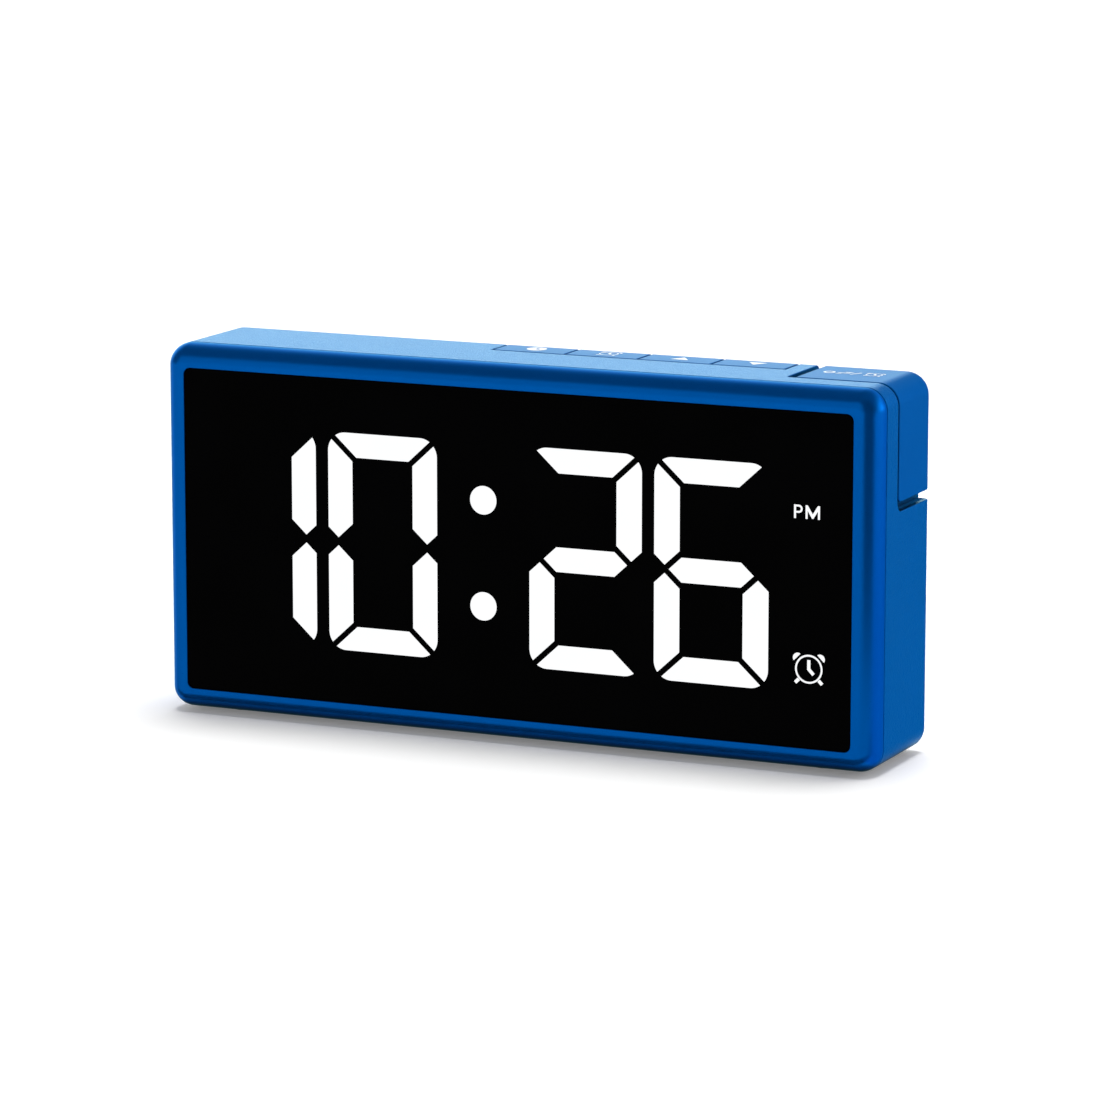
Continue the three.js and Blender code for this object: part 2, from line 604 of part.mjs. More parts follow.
/** Walls and floor of the recess that the snooze cap drops into, with its two spring wells. */
function makeSnoozeRecess() {
  const left = SNOOZE_LEFT - SNOOZE_GROOVE;
  const front = SNOOZE_FRONT - SNOOZE_GAP;
  const bottom = SNOOZE_BOTTOM - SNOOZE_SLOT;
  const thick = RECESS_WALL;
  const floor = RECESS_TOP - thick;
  const side = RECESS_SIDE - thick;
  const walls = block(left - thick, RIGHT + 1, front - thick, BACK, bottom - thick, TOP + 1)
    .intersect(backForm)
    .subtract(block(left - 20, side, FRONT, BACK - WALL, bottom - 20, floor));
  const wells = SNOOZE_POSTS.map((x) => barZ(x, SNOOZE_Y, WELL_RADIUS + WELL_WALL,
    WELL_BOTTOM - 1, RECESS_TOP - 0.5));
  const core = slab(roundedRectangle(-20, RECESS_SIDE, 20, RECESS_TOP, 2.2), front, BACK + 2);
  const opening = slab(roundedRectangle(left, RIGHT + 5, bottom, TOP + 5, 1.4), front, BACK + 2);
  const cut = opening.subtract(core)
    .subtract(lowerFrontCorner(60, front, bottom, RECESS_CORNER))
    .subtract(leftFrontCorner(left, front, floor, RECESS_PLAN_CORNER));
  return { walls, wells, cut };
}

/** Shelf and end walls of the pocket that the four keys sit in. */
function makeKeyPocket() {
  const x0 = KEYS_LEFT - KEY_GAP / 2;
  const x1 = KEYS_LEFT + 4 * KEY_PITCH + KEY_GAP / 2;
  const front = KEY_FRONT - KEY_GAP / 2;
  const tray = block(x0 - WALL, x1 + WALL, front - WALL, BACK - 1,
    KEY_SHELF_TOP - SHELF_THICKNESS, TOP - 1);
  const cut = block(x0, x1, front, BACK + 1, KEY_SHELF_TOP, TOP + 1);
  return { tray, cut };
}

/** Grille holes on rings of six and twelve around one hole. */
function grilleHoles() {
  return GRILLE_RINGS.flatMap(([ring, count]) => Array.from({ length: count }, (_, i) => {
    const turn = (i / count) * Math.PI * 2;
    return barY(SPEAKER.x + ring * Math.cos(turn), SPEAKER.z + ring * Math.sin(turn),
      GRILLE_HOLE, BACK - WALL - 1, BACK + 1, 8);
  }));
}

/** The outline of the power inlet, grown all round by grow. */
function inletOutline(grow, radius) {
  return roundedRectangle(
    INLET.x - INLET.width / 2 - grow, INLET.x + INLET.width / 2 + grow,
    INLET.z - INLET.height / 2 - grow, INLET.z + INLET.height / 2 + grow, radius);
}

const keyCentres = KEY_NAMES.map((_, i) => KEYS_LEFT + (i + 0.5) * KEY_PITCH);

function makeHousing() {
  let body = backForm.intersect(
    block(LEFT - 1, RIGHT + 1, SEAM + SEAM_GAP, BACK + 1, BOTTOM - 1, TOP + 1));
  body = body.subtract(caseSlab(WALL, FRONT, BACK - WALL));
  const pocket = makeKeyPocket();
  const recess = makeSnoozeRecess();
  body = body.add(pocket.tray).add(recess.walls).add(bay.outer());
  for (const well of recess.wells) body = body.add(well);
  body = body.subtract(pocket.cut).subtract(recess.cut);
  for (const x of SNOOZE_POSTS) {
    body = body.subtract(barZ(x, SNOOZE_Y, WELL_RADIUS, WELL_BOTTOM, TOP));
    body = body.subtract(barZ(x, SNOOZE_Y, POST_RADIUS + 0.2, WELL_BOTTOM - 2, TOP, 12));
  }
  body = body.subtract(barZ(SNOOZE_SWITCH_X, SNOOZE_Y, 2, RECESS_TOP - 3, TOP, 12));
  for (const x of keyCentres) {
    body = body.subtract(block(x - STEM_HALF_X - CLEARANCE, x + STEM_HALF_X + CLEARANCE,
      KEY_Y - STEM_HALF_Y - CLEARANCE, KEY_Y + STEM_HALF_Y + CLEARANCE,
      KEY_SHELF_TOP - 3, TOP));
  }
  body = body.subtract(bay.inside()).subtract(bay.doorSeat());
  // Trough that the door's round lower edge turns in, and the holes for its two pins
  const trough = DOOR_HALF_WIDTH + CLEARANCE;
  body = body.subtract(barX(DOOR_PIVOT.y, DOOR_PIVOT.z, DOOR_PIVOT.radius + CLEARANCE,
    -trough, trough, 24));
  const pinHole = DOOR_HALF_WIDTH + DOOR_PIVOT.pinLength + CLEARANCE;
  body = body.subtract(barX(DOOR_PIVOT.y, DOOR_PIVOT.z, DOOR_PIVOT.pinRadius + CLEARANCE,
    -pinHole, pinHole, 16));
  // Finger notch above the door's latch
  body = body.subtract(block(-LATCH.notchHalfWidth, LATCH.notchHalfWidth,
    BACK - DOOR_THICKNESS - CLEARANCE, BACK + 1, DOOR_TOP, DOOR_TOP + LATCH.notchRise));
  for (const [x, z] of CASE_SCREWS) {
    body = body.add(barY(x, z, CASE_BOSS.radius, BOSS_SPLIT + CLEARANCE, BACK - WALL + 0.5)
      .intersect(caseSlab(0.5, FRONT, BACK)));
    body = body.subtract(barY(x, z, CASE_BOSS.headHole, CASE_BOSS.seat, BACK + 1));
    body = body.subtract(barY(x, z, CASE_BOSS.hole, 0, CASE_BOSS.seat + 0.6, 12));
  }
  body = body.subtract(slab(inletOutline(0.35, 1.6), BACK - WALL - 1, BACK + 1));
  for (const hole of grilleHoles()) body = body.subtract(hole);
  // Ring that holds the speaker against the grille
  const ring = barY(SPEAKER.x, SPEAKER.z, SPEAKER.radius + 1.6, BACK - WALL - 4, BACK - WALL + 0.5, 28)
    .subtract(barY(SPEAKER.x, SPEAKER.z, SPEAKER.radius + CLEARANCE, 0, BACK - WALL, 28));
  body = body.add(ring.subtract(bay.inside()));
  // Ledges that the switch board rests on
  const ledgeTop = KEY_PCB_TOP - PCB_THICKNESS - CLEARANCE;
  for (const x of LEDGE_XS) {
    body = body.add(block(x - 1.5, x + 1.5, KEY_PCB_FRONT + 3, BACK - 1,
      ledgeTop - LEDGE_HEIGHT, ledgeTop));
  }
  // Studs that carry the main board
  for (const z of [MAIN_PCB.bottom + 3, MAIN_PCB.top - 3]) {
    body = body.add(barY(MAIN_PCB.right - 4, z, STUD_RADIUS,
      MAIN_PCB.front + PCB_THICKNESS + 0.2, BACK - 1, 12));
  }
  for (const x of FOOT_XS) {
    for (const y of FOOT_YS) {
      body = body.subtract(barZ(x, y, FOOT_RADIUS + 0.2, BOTTOM - 1, BOTTOM + FOOT_SOCKET, 16));
    }
  }
  return body;
}

add('rear_housing', makeHousing(), 'caseBlue');
CASE_SCREWS.forEach(([x, z], i) => add(`case_screw_${i + 1}`,
  makeScrew(x, z, CASE_SCREW.seat, CASE_SCREW, CASE_SCREW.end), 'steel'));

let footNumber = 0;
for (const x of FOOT_XS) {
  for (const y of FOOT_YS) {
    footNumber += 1;
    const top = BOTTOM + FOOT_SOCKET - 0.2;
    add(`foot_${footNumber}`, turnedZ([
      [0, 0], [FOOT_RADIUS - 0.5, 0], [FOOT_RADIUS, 0.4], [FOOT_RADIUS, top], [0, top],
    ], x, y, 16), 'rubber');
  }
}

// ---------------------------------------------------------------- keys on top

/** One key: a plate flush with the top, a skirt flush with the back, a stem with a hooked foot. */
function makeKey(i) {
  const x0 = KEYS_LEFT + i * KEY_PITCH + KEY_GAP / 2;
  const x1 = x0 + KEY_PITCH - KEY_GAP;
  const x = keyCentres[i];
  const front = KEY_FRONT + KEY_GAP / 2;
  const shell = backForm
    .intersect(block(x0, x1, front, BACK + 1, KEY_SKIRT_BOTTOM, TOP + 1))
    .subtract(block(x0 - 1, x1 + 1, 0, BACK - KEY_PLATE, 0, TOP - KEY_PLATE));
  const stem = block(x - STEM_HALF_X, x + STEM_HALF_X, KEY_Y - STEM_HALF_Y, KEY_Y + STEM_HALF_Y,
    PRESSER_BOTTOM, TOP - 1);
  const hookTop = KEY_SHELF_TOP - SHELF_THICKNESS - CLEARANCE;
  const hook = block(x - STEM_HALF_X - 0.9, x + STEM_HALF_X + 0.9,
    KEY_Y - STEM_HALF_Y, KEY_Y + STEM_HALF_Y, PRESSER_BOTTOM, hookTop);
  return shell.add(stem).add(hook);
}

const SWITCH_BASE = KEY_PCB_TOP + 0.1;
const SWITCH_TOP = SWITCH_BASE + SWITCH_HEIGHT;
const PLUNGER_BOTTOM = SWITCH_TOP - 1.6;

/** A tact switch body with a well for its plunger. */
function makeSwitch(x, y) {
  const half = SWITCH_SIZE / 2;
  return block(x - half, x + half, y - half, y + half, SWITCH_BASE, SWITCH_TOP)
    .subtract(barZ(x, y, PLUNGER_RADIUS + CLEARANCE, PLUNGER_BOTTOM - 1.1, SWITCH_TOP + 1));
}

/** The plunger between a switch and the stem above it. */
function makePlunger(x, y) {
  return barZ(x, y, PLUNGER_RADIUS, PLUNGER_BOTTOM, PRESSER_BOTTOM - 0.1);
}

KEY_NAMES.forEach((name, i) => {
  add(name, makeKey(i), 'caseBlue');
  add(`${name}_plunger`, makePlunger(keyCentres[i], KEY_Y), 'switchBlack');
  add(`${name}_switch`, makeSwitch(keyCentres[i], KEY_Y), 'switchBlack');
});
add('key_pcb', block(-17, 73, KEY_PCB_FRONT, BACK - WALL - CLEARANCE,
  KEY_PCB_TOP - PCB_THICKNESS, KEY_PCB_TOP), 'board');

// ---------------------------------------------------------------- snooze cap

function makeSnoozeCap() {
  const zone = slab(roundedRectangle(
    SNOOZE_LEFT, RIGHT + 5, SNOOZE_BOTTOM, TOP + 5, 0.2), SNOOZE_FRONT, BACK + 1);
  const corners = lowerFrontCorner(60, SNOOZE_FRONT, SNOOZE_BOTTOM, SNOOZE_CORNER)
    .add(leftFrontCorner(SNOOZE_LEFT, SNOOZE_FRONT, RECESS_TOP, SNOOZE_PLAN_CORNER));
  const hollow = slab(roundedRectangle(
    -20, RIGHT - SNOOZE_PLATE, 20, TOP - SNOOZE_PLATE, 2.5), SNOOZE_FRONT - 1, BACK + 2);
  let body = backForm.intersect(zone).subtract(corners).subtract(hollow);
  for (const x of SNOOZE_POSTS) {
    body = body.add(barZ(x, SNOOZE_Y, POST_RADIUS, WELL_BOTTOM - 1.3, TOP - 1, 12));
    body = body.subtract(barZ(x, SNOOZE_Y, 0.9, WELL_BOTTOM - 2, WELL_BOTTOM + 4, 8));
  }
  return body.add(barZ(SNOOZE_SWITCH_X, SNOOZE_Y, 1.6, PRESSER_BOTTOM, TOP - 1, 12));
}

/** A helical return spring in a well. */
function makeSpring(x) {
  const z0 = WELL_BOTTOM + SPRING_WIRE + 0.15;
  const z1 = TOP - SNOOZE_PLATE - SPRING_WIRE - 0.15;
  const turns = 4;
  class Helix extends THREE.Curve {
    getPoint(t, target = new THREE.Vector3()) {
      const angle = t * turns * Math.PI * 2;
      return target.set(
        x + SPRING_RADIUS * Math.cos(angle), SNOOZE_Y + SPRING_RADIUS * Math.sin(angle),
        z0 + (z1 - z0) * t);
    }
  }
  return solid(wire(new Helix(), SPRING_WIRE, turns * 8, 2));
}

/** A retaining screw up into the foot of a guide post. */
function makePostScrew(x) {
  const top = WELL_BOTTOM - 1.3 - 0.1;
  return barZ(x, SNOOZE_Y, 2.3, top - 1, top, 12)
    .add(barZ(x, SNOOZE_Y, 0.6, top - 0.2, top + 3.4, 8));
}

add('snooze_cap', makeSnoozeCap(), 'caseBlue');
add('snooze_plunger', makePlunger(SNOOZE_SWITCH_X, SNOOZE_Y), 'switchBlack');
add('snooze_switch', makeSwitch(SNOOZE_SWITCH_X, SNOOZE_Y), 'switchBlack');
SNOOZE_POSTS.forEach((x, i) => {
  add(`snooze_spring_${i + 1}`, makeSpring(x), 'steel');
  add(`snooze_screw_${i + 1}`, makePostScrew(x), 'steel');
});

// ---------------------------------------------------------------- back-up cells and their door

function makeDoor() {
  const inner = BACK - DOOR_THICKNESS;
  let body = block(-DOOR_HALF_WIDTH, DOOR_HALF_WIDTH, inner, BACK, DOOR_PIVOT.z, DOOR_TOP);
  // The lower edge is round about the pivot, with a pin at each end
  body = body.add(barX(DOOR_PIVOT.y, DOOR_PIVOT.z, DOOR_PIVOT.radius,
    -DOOR_HALF_WIDTH, DOOR_HALF_WIDTH, 24)
    .intersect(block(-DOOR_HALF_WIDTH, DOOR_HALF_WIDTH, inner, BACK, 0, DOOR_PIVOT.z + 0.5)));
  const pinEnd = DOOR_HALF_WIDTH + DOOR_PIVOT.pinLength;
  body = body.add(barX(DOOR_PIVOT.y, DOOR_PIVOT.z, DOOR_PIVOT.pinRadius, -pinEnd, pinEnd, 16));
  // Latch tongue in the finger notch, and finger grooves under it
  body = body.add(block(-LATCH.halfWidth, LATCH.halfWidth, inner, BACK - 0.9,
    DOOR_TOP - 1, DOOR_TOP + LATCH.rise));
  for (const drop of RIB_DROPS) {
    const z = DOOR_TOP - drop;
    body = body.subtract(block(-RIB.halfWidth, RIB.halfWidth, BACK - RIB.depth, BACK + 1,
      z, z + RIB.height));
  }
  return body;
}

/** A cell with its plus pole towards +X (sign 1) or -X (sign -1). */
function makeCell(z, sign) {
  const half = CELL_LENGTH / 2;
  const points = [
    [0, -half], [CELL_RADIUS - 0.4, -half], [CELL_RADIUS, -half + 0.4],
    [CELL_RADIUS, half - 1.8], [CELL_RADIUS - 0.8, half - 1],
    [1.9, half - 1], [1.9, half], [0, half],
  ].map(([r, h]) => new THREE.Vector2(r, h));
  const geometry = new THREE.LatheGeometry([...points, points[0]], 20);
  geometry.rotateZ(sign > 0 ? -Math.PI / 2 : Math.PI / 2);
  geometry.translate(0, CELL_Y, z);
  return solid(geometry);
}

/** A conical contact spring for a cell's minus pole at x, opening towards the cell. */
function makeContactSpring(x, z, towards) {
  const turns = 3;
  const reach = BAY_HALF_WIDTH - CELL_LENGTH / 2 - 1.3;
  class Cone extends THREE.Curve {
    getPoint(t, target = new THREE.Vector3()) {
      const angle = t * turns * Math.PI * 2;
      const radius = 3.4 - 1.6 * t;
      return target.set(x + towards * (0.8 + reach * t),
        CELL_Y + radius * Math.cos(angle), z + radius * Math.sin(angle));
    }
  }
  const coil = solid(wire(new Cone(), 0.35, turns * 8, 2));
  const plate = block(Math.min(x + towards * 0.2, x + towards * 0.9),
    Math.max(x + towards * 0.2, x + towards * 0.9), CELL_Y - 4.4, CELL_Y + 4.4, z - 4.4, z + 4.4);
  return plate.add(coil);
}

add('battery_door', makeDoor(), 'caseBlue');
add('backup_cell_1', makeCell(CELL_ZS[0], 1), 'cell');
add('backup_cell_2', makeCell(CELL_ZS[1], -1), 'cell');
add('contact_spring_lower', makeContactSpring(-BAY_HALF_WIDTH, CELL_ZS[0], 1), 'steel');
add('contact_spring_upper', makeContactSpring(BAY_HALF_WIDTH, CELL_ZS[1], -1), 'steel');
[1, -1].forEach((sign, i) => {
  const x = sign * (BAY_HALF_WIDTH - 0.5);
  add(`contact_plate_${i + 1}`, block(x - 0.25, x + 0.25, CELL_Y - 4, CELL_Y + 4,
    CELL_ZS[i] - 4, CELL_ZS[i] + 4), 'steel');
});

// ---------------------------------------------------------------- main board, speaker, inlet

const boardBack = MAIN_PCB.front + PCB_THICKNESS;
add('main_pcb', block(MAIN_PCB.left, MAIN_PCB.right, MAIN_PCB.front, boardBack,
  MAIN_PCB.bottom, MAIN_PCB.top), 'board');
add('clock_ic', block(39, 49, MAIN_PCB.front - 1.8, MAIN_PCB.front - 0.1, 33, 43), 'switchBlack');

function makeInlet() {
  const tongue = block(INLET.x - 3.2, INLET.x + 3.2, BACK - 7, BACK - 1.2, INLET.z - 0.35, INLET.z + 0.35);
  return slab(inletOutline(0, 1.5), boardBack + 0.1, BACK - 0.3)
    .subtract(slab(inletOutline(-INLET.wall, 1.15), BACK - 6.6, BACK + 1))
    .add(tongue);
}

function makeSpeaker() {
  const grilleSide = BACK - WALL - 0.3;
  const rim = barY(SPEAKER.x, SPEAKER.z, SPEAKER.radius, grilleSide - 2, grilleSide, 28);
  const basket = barY(SPEAKER.x, SPEAKER.z, SPEAKER.radius - 4, grilleSide - SPEAKER.depth,
    grilleSide - 1, 28);
  const dish = barY(SPEAKER.x, SPEAKER.z, SPEAKER.radius - 1.6, grilleSide - 1, grilleSide + 1, 28)
    .subtract(barY(SPEAKER.x, SPEAKER.z, 4, grilleSide - 2, grilleSide - 0.4, 20));
  return rim.add(basket).subtract(dish);
}

add('power_inlet', makeInlet(), 'steel');
add('speaker', makeSpeaker(), 'switchBlack');

/** A flat ribbon that follows points in the YZ plane, between x0 and x1. */
function makeRibbon(x0, x1, path, thickness) {
  const half = thickness / 2;
  const normals = path.map(([y, z], i) => {
    const [ya, za] = path[Math.max(i - 1, 0)];
    const [yb, zb] = path[Math.min(i + 1, path.length - 1)];
    const length = Math.hypot(yb - ya, zb - za);
    return [-(zb - za) / length, (yb - ya) / length];
  });
  const side = (s) => path.map(([y, z], i) => new THREE.Vector2(
    y + s * half * normals[i][0], z + s * half * normals[i][1]));
  const shape = new THREE.Shape([...side(1), ...side(-1).reverse()]);
  const geometry = new THREE.ExtrudeGeometry(shape, { depth: x1 - x0, bevelEnabled: false });
  // Shape x is the clock's y, shape y is z, and the extrusion runs along x.
  geometry.applyMatrix4(new THREE.Matrix4().set(
    0, 0, 1, x0,
    1, 0, 0, 0,
    0, 1, 0, 0,
    0, 0, 0, 1));
  return solid(geometry);
}

const displayBack = DISPLAY_PCB_FRONT + PCB_THICKNESS;
add('display_ribbon', makeRibbon(50, 58, [
  [displayBack + 0.2, 20], [displayBack + 0.5, 24], [displayBack + 1.8, 27.2], [0.2, 28.2],
  [1.9, 29.2], [2.9, 32], [MAIN_PCB.front - 0.3, 36],
], 0.3), 'ribbon');
const keyBoardUnderside = KEY_PCB_TOP - PCB_THICKNESS;
add('key_ribbon', makeRibbon(40, 46, [
  [6.9, keyBoardUnderside - 0.2], [6.6, keyBoardUnderside - 2.5],
  [5.9, keyBoardUnderside - 5], [5.6, 50.5], [5.3, 46],
], 0.3), 'ribbon');

const speakerLeadPath = new THREE.CatmullRomCurve3([
  [-44, 6.2, 26], [-40, 2.6, 27.5], [-33, -0.7, 30], [0, -0.9, 31],
  [27, -0.8, 30.5], [32, 0.6, 30], [35, 2.2, 29], [39, 2.7, 28],
].map(([x, y, z]) => new THREE.Vector3(x, y, z)));
add('speaker_lead', solid(wire(speakerLeadPath, 0.5, 30, 2)), 'switchBlack');

export default clock;
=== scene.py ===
"""Looks for the alarm clock: materials on every piece, fine edges on the case, the lit digits and
the printed signs, a pale floor and soft studio light. Metres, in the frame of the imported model."""

import json
import math

import bmesh
import bpy
from mathutils import Matrix, Vector


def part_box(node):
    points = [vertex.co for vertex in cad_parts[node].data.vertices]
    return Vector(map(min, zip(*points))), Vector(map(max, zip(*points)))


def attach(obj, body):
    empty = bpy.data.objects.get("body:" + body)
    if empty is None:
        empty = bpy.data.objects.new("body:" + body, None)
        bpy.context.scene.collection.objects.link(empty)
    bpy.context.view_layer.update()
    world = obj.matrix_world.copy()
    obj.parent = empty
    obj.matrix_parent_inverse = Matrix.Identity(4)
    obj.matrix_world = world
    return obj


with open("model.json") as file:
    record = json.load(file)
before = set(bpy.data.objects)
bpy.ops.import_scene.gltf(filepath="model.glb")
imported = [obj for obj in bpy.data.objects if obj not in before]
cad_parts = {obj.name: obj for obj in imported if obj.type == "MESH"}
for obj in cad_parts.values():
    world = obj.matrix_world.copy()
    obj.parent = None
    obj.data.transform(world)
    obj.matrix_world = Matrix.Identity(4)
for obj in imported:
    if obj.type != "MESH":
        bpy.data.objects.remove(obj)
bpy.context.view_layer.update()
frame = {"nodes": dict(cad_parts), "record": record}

MM = 0.001
NODES = frame["nodes"]

# ------------------------------------------------------------------ measures from the frame

LENS_LOW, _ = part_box("display_lens")
BEZEL_LOW, BEZEL_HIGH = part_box("front_bezel")
_, CAP_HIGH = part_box("snooze_cap")
HOUSING_LOW, HOUSING_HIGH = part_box("rear_housing")
SPEAKER_LOW, SPEAKER_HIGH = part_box("speaker")
KEYS = ["clock_key", "alarm_key", "up_key", "down_key"]
FRONT = BEZEL_LOW.y
LENS_FRONT = LENS_LOW.y

# ------------------------------------------------------------------ camera

CAMERA_YAW = math.radians(24.44)
CAMERA_PITCH = math.radians(10.64)
CAMERA_DISTANCE = 1.0265
CAMERA_LENS = 170.5
SENSOR = 36.0
CAMERA_TARGET = Vector((0.0089, FRONT, 0.0402))


def make_camera():
    back = Vector((
        math.sin(CAMERA_YAW) * math.cos(CAMERA_PITCH),
        -math.cos(CAMERA_YAW) * math.cos(CAMERA_PITCH),
        math.sin(CAMERA_PITCH),
    ))
    data = bpy.data.cameras.new("camera")
    data.lens = CAMERA_LENS
    data.sensor_width = SENSOR
    data.clip_start = 0.01
    data.clip_end = 50
    camera = bpy.data.objects.new("camera", data)
    bpy.context.scene.collection.objects.link(camera)
    camera.location = CAMERA_TARGET + back * CAMERA_DISTANCE
    camera.rotation_euler = back.to_track_quat("Z", "Y").to_euler()
    bpy.context.scene.camera = camera


make_camera()

# ------------------------------------------------------------------ node helpers


class Nodes:
    """Short way to build a node tree."""

    def __init__(self, name):
        self.material = bpy.data.materials.new(name)
        self.material.use_nodes = True
        self.tree = self.material.node_tree
        self.shader = self.tree.nodes["Principled BSDF"]

    def add(self, kind, values=None, **settings):
        node = self.tree.nodes.new(kind)
        for key, value in settings.items():
            setattr(node, key, value)
        for key, value in (values or {}).items():
            node.inputs[key].default_value = value
        return node

    def link(self, source, output, target, socket):
        self.tree.links.new(source.outputs[output], target.inputs[socket])

    def set(self, **values):
        names = {
            "color": "Base Color",
            "roughness": "Roughness",
            "metallic": "Metallic",
            "specular": "Specular IOR Level",
            "tint": "Specular Tint",
            "emission": "Emission Color",
            "strength": "Emission Strength",
        }
        for key, value in values.items():
            if key in ("color", "tint", "emission"):
                value = (*value, 1.0)
            self.shader.inputs[names[key]].default_value = value

    def coordinates(self):
        return self.add("ShaderNodeTexCoord")

    def noise(self, scale, detail=2.0, rough=0.5):
        node = self.add("ShaderNodeTexNoise", {"Scale": scale, "Detail": detail, "Roughness": rough})
        self.link(self.coordinates(), "Object", node, "Vector")
        return node

    def range(self, source, output, low, high, start=0.0, end=1.0):
        """Maps start..end to low..high."""
        node = self.add("ShaderNodeMapRange", {
            "From Min": start, "From Max": end, "To Min": low, "To Max": high})
        self.link(source, output, node, "Value")
        return node

    def mix(self, source, output, dark, light):
        """A colour between dark and light, by a 0..1 value."""
        node = self.add("ShaderNodeMix", data_type="RGBA")
        node.inputs[6].default_value = (*dark, 1.0)
        node.inputs[7].default_value = (*light, 1.0)
        self.tree.links.new(source.outputs[output], node.inputs[0])
        return node

    def colour(self, mixer):
        self.tree.links.new(mixer.outputs[2], self.shader.inputs["Base Color"])

    def bump(self, source, output, strength, distance):
        node = self.add("ShaderNodeBump", {"Strength": strength, "Distance": distance})
        self.link(source, output, node, "Height")
        self.link(node, "Normal", self.shader, "Normal")

    def gloss(self, source, output, low, high):
        self.link(self.range(source, output, low, high), "Result", self.shader, "Roughness")


def spread(colour, share):
    """A colour made a little darker and a little lighter, for slight variation."""
    return tuple(c * (1 - share) for c in colour), tuple(min(c * (1 + share), 1) for c in colour)


# ------------------------------------------------------------------ materials

BLUE = (0.0, 0.105, 0.40)
BEZEL_BLUE = (0.0, 0.107, 0.455)
BLUE_SHEEN = (0.0, 0.55, 0.62)
# painted shade: the dark blue that the plastics turn towards in crevices, in gaps between parts and
# close to the floor
PAINTED_SHADE_BLUE = (0.0, 0.006, 0.035)
PAINTED_SHADE_REACH = 3.5 * MM
PAINTED_SHADE_FADE = (0.3, 0.9)  # how open a spot is where the painted shade is darkest, and where the plain colour starts
COLOUR_DRIFT = 0.05
GLOSS_DRIFT = 0.06
PLAIN_DRIFT = 0.08
PLAIN_GLOSSIER = 0.05
PLAIN_DULLER = 0.08


def moulded_blue(name, colour, grain, grain_depth, roughness, metallic, specular):
    """Satin blue plastic: slow colour drift, painted shade that darkens it in crevices, gaps and close
    to the floor, fine moulded grain, uneven gloss.
    """
    m = Nodes(name)
    m.set(metallic=metallic, specular=specular, tint=BLUE_SHEEN)
    drift = m.mix(m.noise(35.0, 3.0), "Fac", *spread(colour, COLOUR_DRIFT))
    # painted shade: ambient occlusion darkens the colour wherever other surfaces are close, as in
    # crevices, gaps and near the floor
    openness = m.add("ShaderNodeAmbientOcclusion", {"Distance": PAINTED_SHADE_REACH}, samples=8)
    shade = m.mix(m.range(openness, "AO", 0.0, 1.0, *PAINTED_SHADE_FADE), "Result", PAINTED_SHADE_BLUE, colour)
    m.tree.links.new(drift.outputs[2], shade.inputs[7])
    m.colour(shade)
    fine = m.noise(grain, 2.0, 0.6)
    m.gloss(fine, "Fac", roughness - GLOSS_DRIFT, roughness + GLOSS_DRIFT)
    m.bump(fine, "Fac", 1.0, grain_depth)
    return m.material


def gloss_black(name):
    """Polished dark window with a slightly uneven gloss."""
    m = Nodes(name)
    m.set(specular=0.012)
    m.colour(m.mix(m.noise(60.0, 1.0), "Fac", (0.0, 0.0, 0.0), (0.0008, 0.0008, 0.001)))
    m.gloss(m.noise(900.0, 2.0), "Fac", 0.06, 0.10)
    return m.material


def lit_white(name, strength):
    """Evenly lit white, a touch cooler here and there."""
    m = Nodes(name)
    m.set(color=(0.02, 0.02, 0.02), roughness=0.5, specular=0.1, strength=strength)
    tone = m.mix(m.noise(80.0, 1.0), "Fac", (0.96, 0.98, 1.0), (1.0, 1.0, 1.0))
    m.tree.links.new(tone.outputs[2], m.shader.inputs["Emission Color"])
    return m.material


def printed_white(name):
    """White pad-printed ink with a slightly uneven film."""
    m = Nodes(name)
    m.set(roughness=0.55, specular=0.3)
    m.colour(m.mix(m.noise(2500.0, 2.0), "Fac", (0.80, 0.82, 0.84), (0.95, 0.96, 0.97)))
    return m.material


def plain_plastic(name, colour, roughness, grain=1200.0, depth=0.02 * MM, metallic=0.0):
    """A matt or satin plastic, rubber or foam with a fine grain."""
    m = Nodes(name)
    m.set(metallic=metallic)
    fine = m.noise(grain, 3.0)
    m.colour(m.mix(fine, "Fac", *spread(colour, PLAIN_DRIFT)))
    m.gloss(fine, "Fac", roughness - PLAIN_GLOSSIER, min(roughness + PLAIN_DULLER, 1.0))
    m.bump(fine, "Fac", 0.4, depth)
    return m.material


def plated_steel(name):
    """Zinc-plated steel with fine drawn lines."""
    m = Nodes(name)
    m.set(metallic=1.0)
    lines = m.add("ShaderNodeTexWave", {"Scale": 700.0, "Distortion": 3.0, "Detail": 2.0})
    m.link(m.coordinates(), "Object", lines, "Vector")
    m.colour(m.mix(lines, "Fac", (0.50, 0.51, 0.53), (0.66, 0.67, 0.68)))
    m.gloss(lines, "Fac", 0.24, 0.40)
    return m.material


def studio_card(name, glow):
    """A matt black card, or one that glows in a colour."""
    m = Nodes(name)
    m.set(color=(0.0, 0.0, 0.0), roughness=1.0, specular=0.0, emission=glow, strength=1.0)
    return m.material


def solder_mask(name):
    """Green board with faint copper tracks under the mask."""
    m = Nodes(name)
    m.set(roughness=0.4)
    tracks = m.add("ShaderNodeTexBrick", {
        "Scale": 90.0, "Mortar Size": 0.03,
        "Color1": (0.010, 0.085, 0.035, 1), "Color2": (0.014, 0.10, 0.04, 1),
        "Mortar": (0.03, 0.17, 0.07, 1)})
    m.link(m.coordinates(), "Object", tracks, "Vector")
    m.link(tracks, "Color", m.shader, "Base Color")
    m.bump(tracks, "Fac", 0.3, 0.03 * MM)
    return m.material


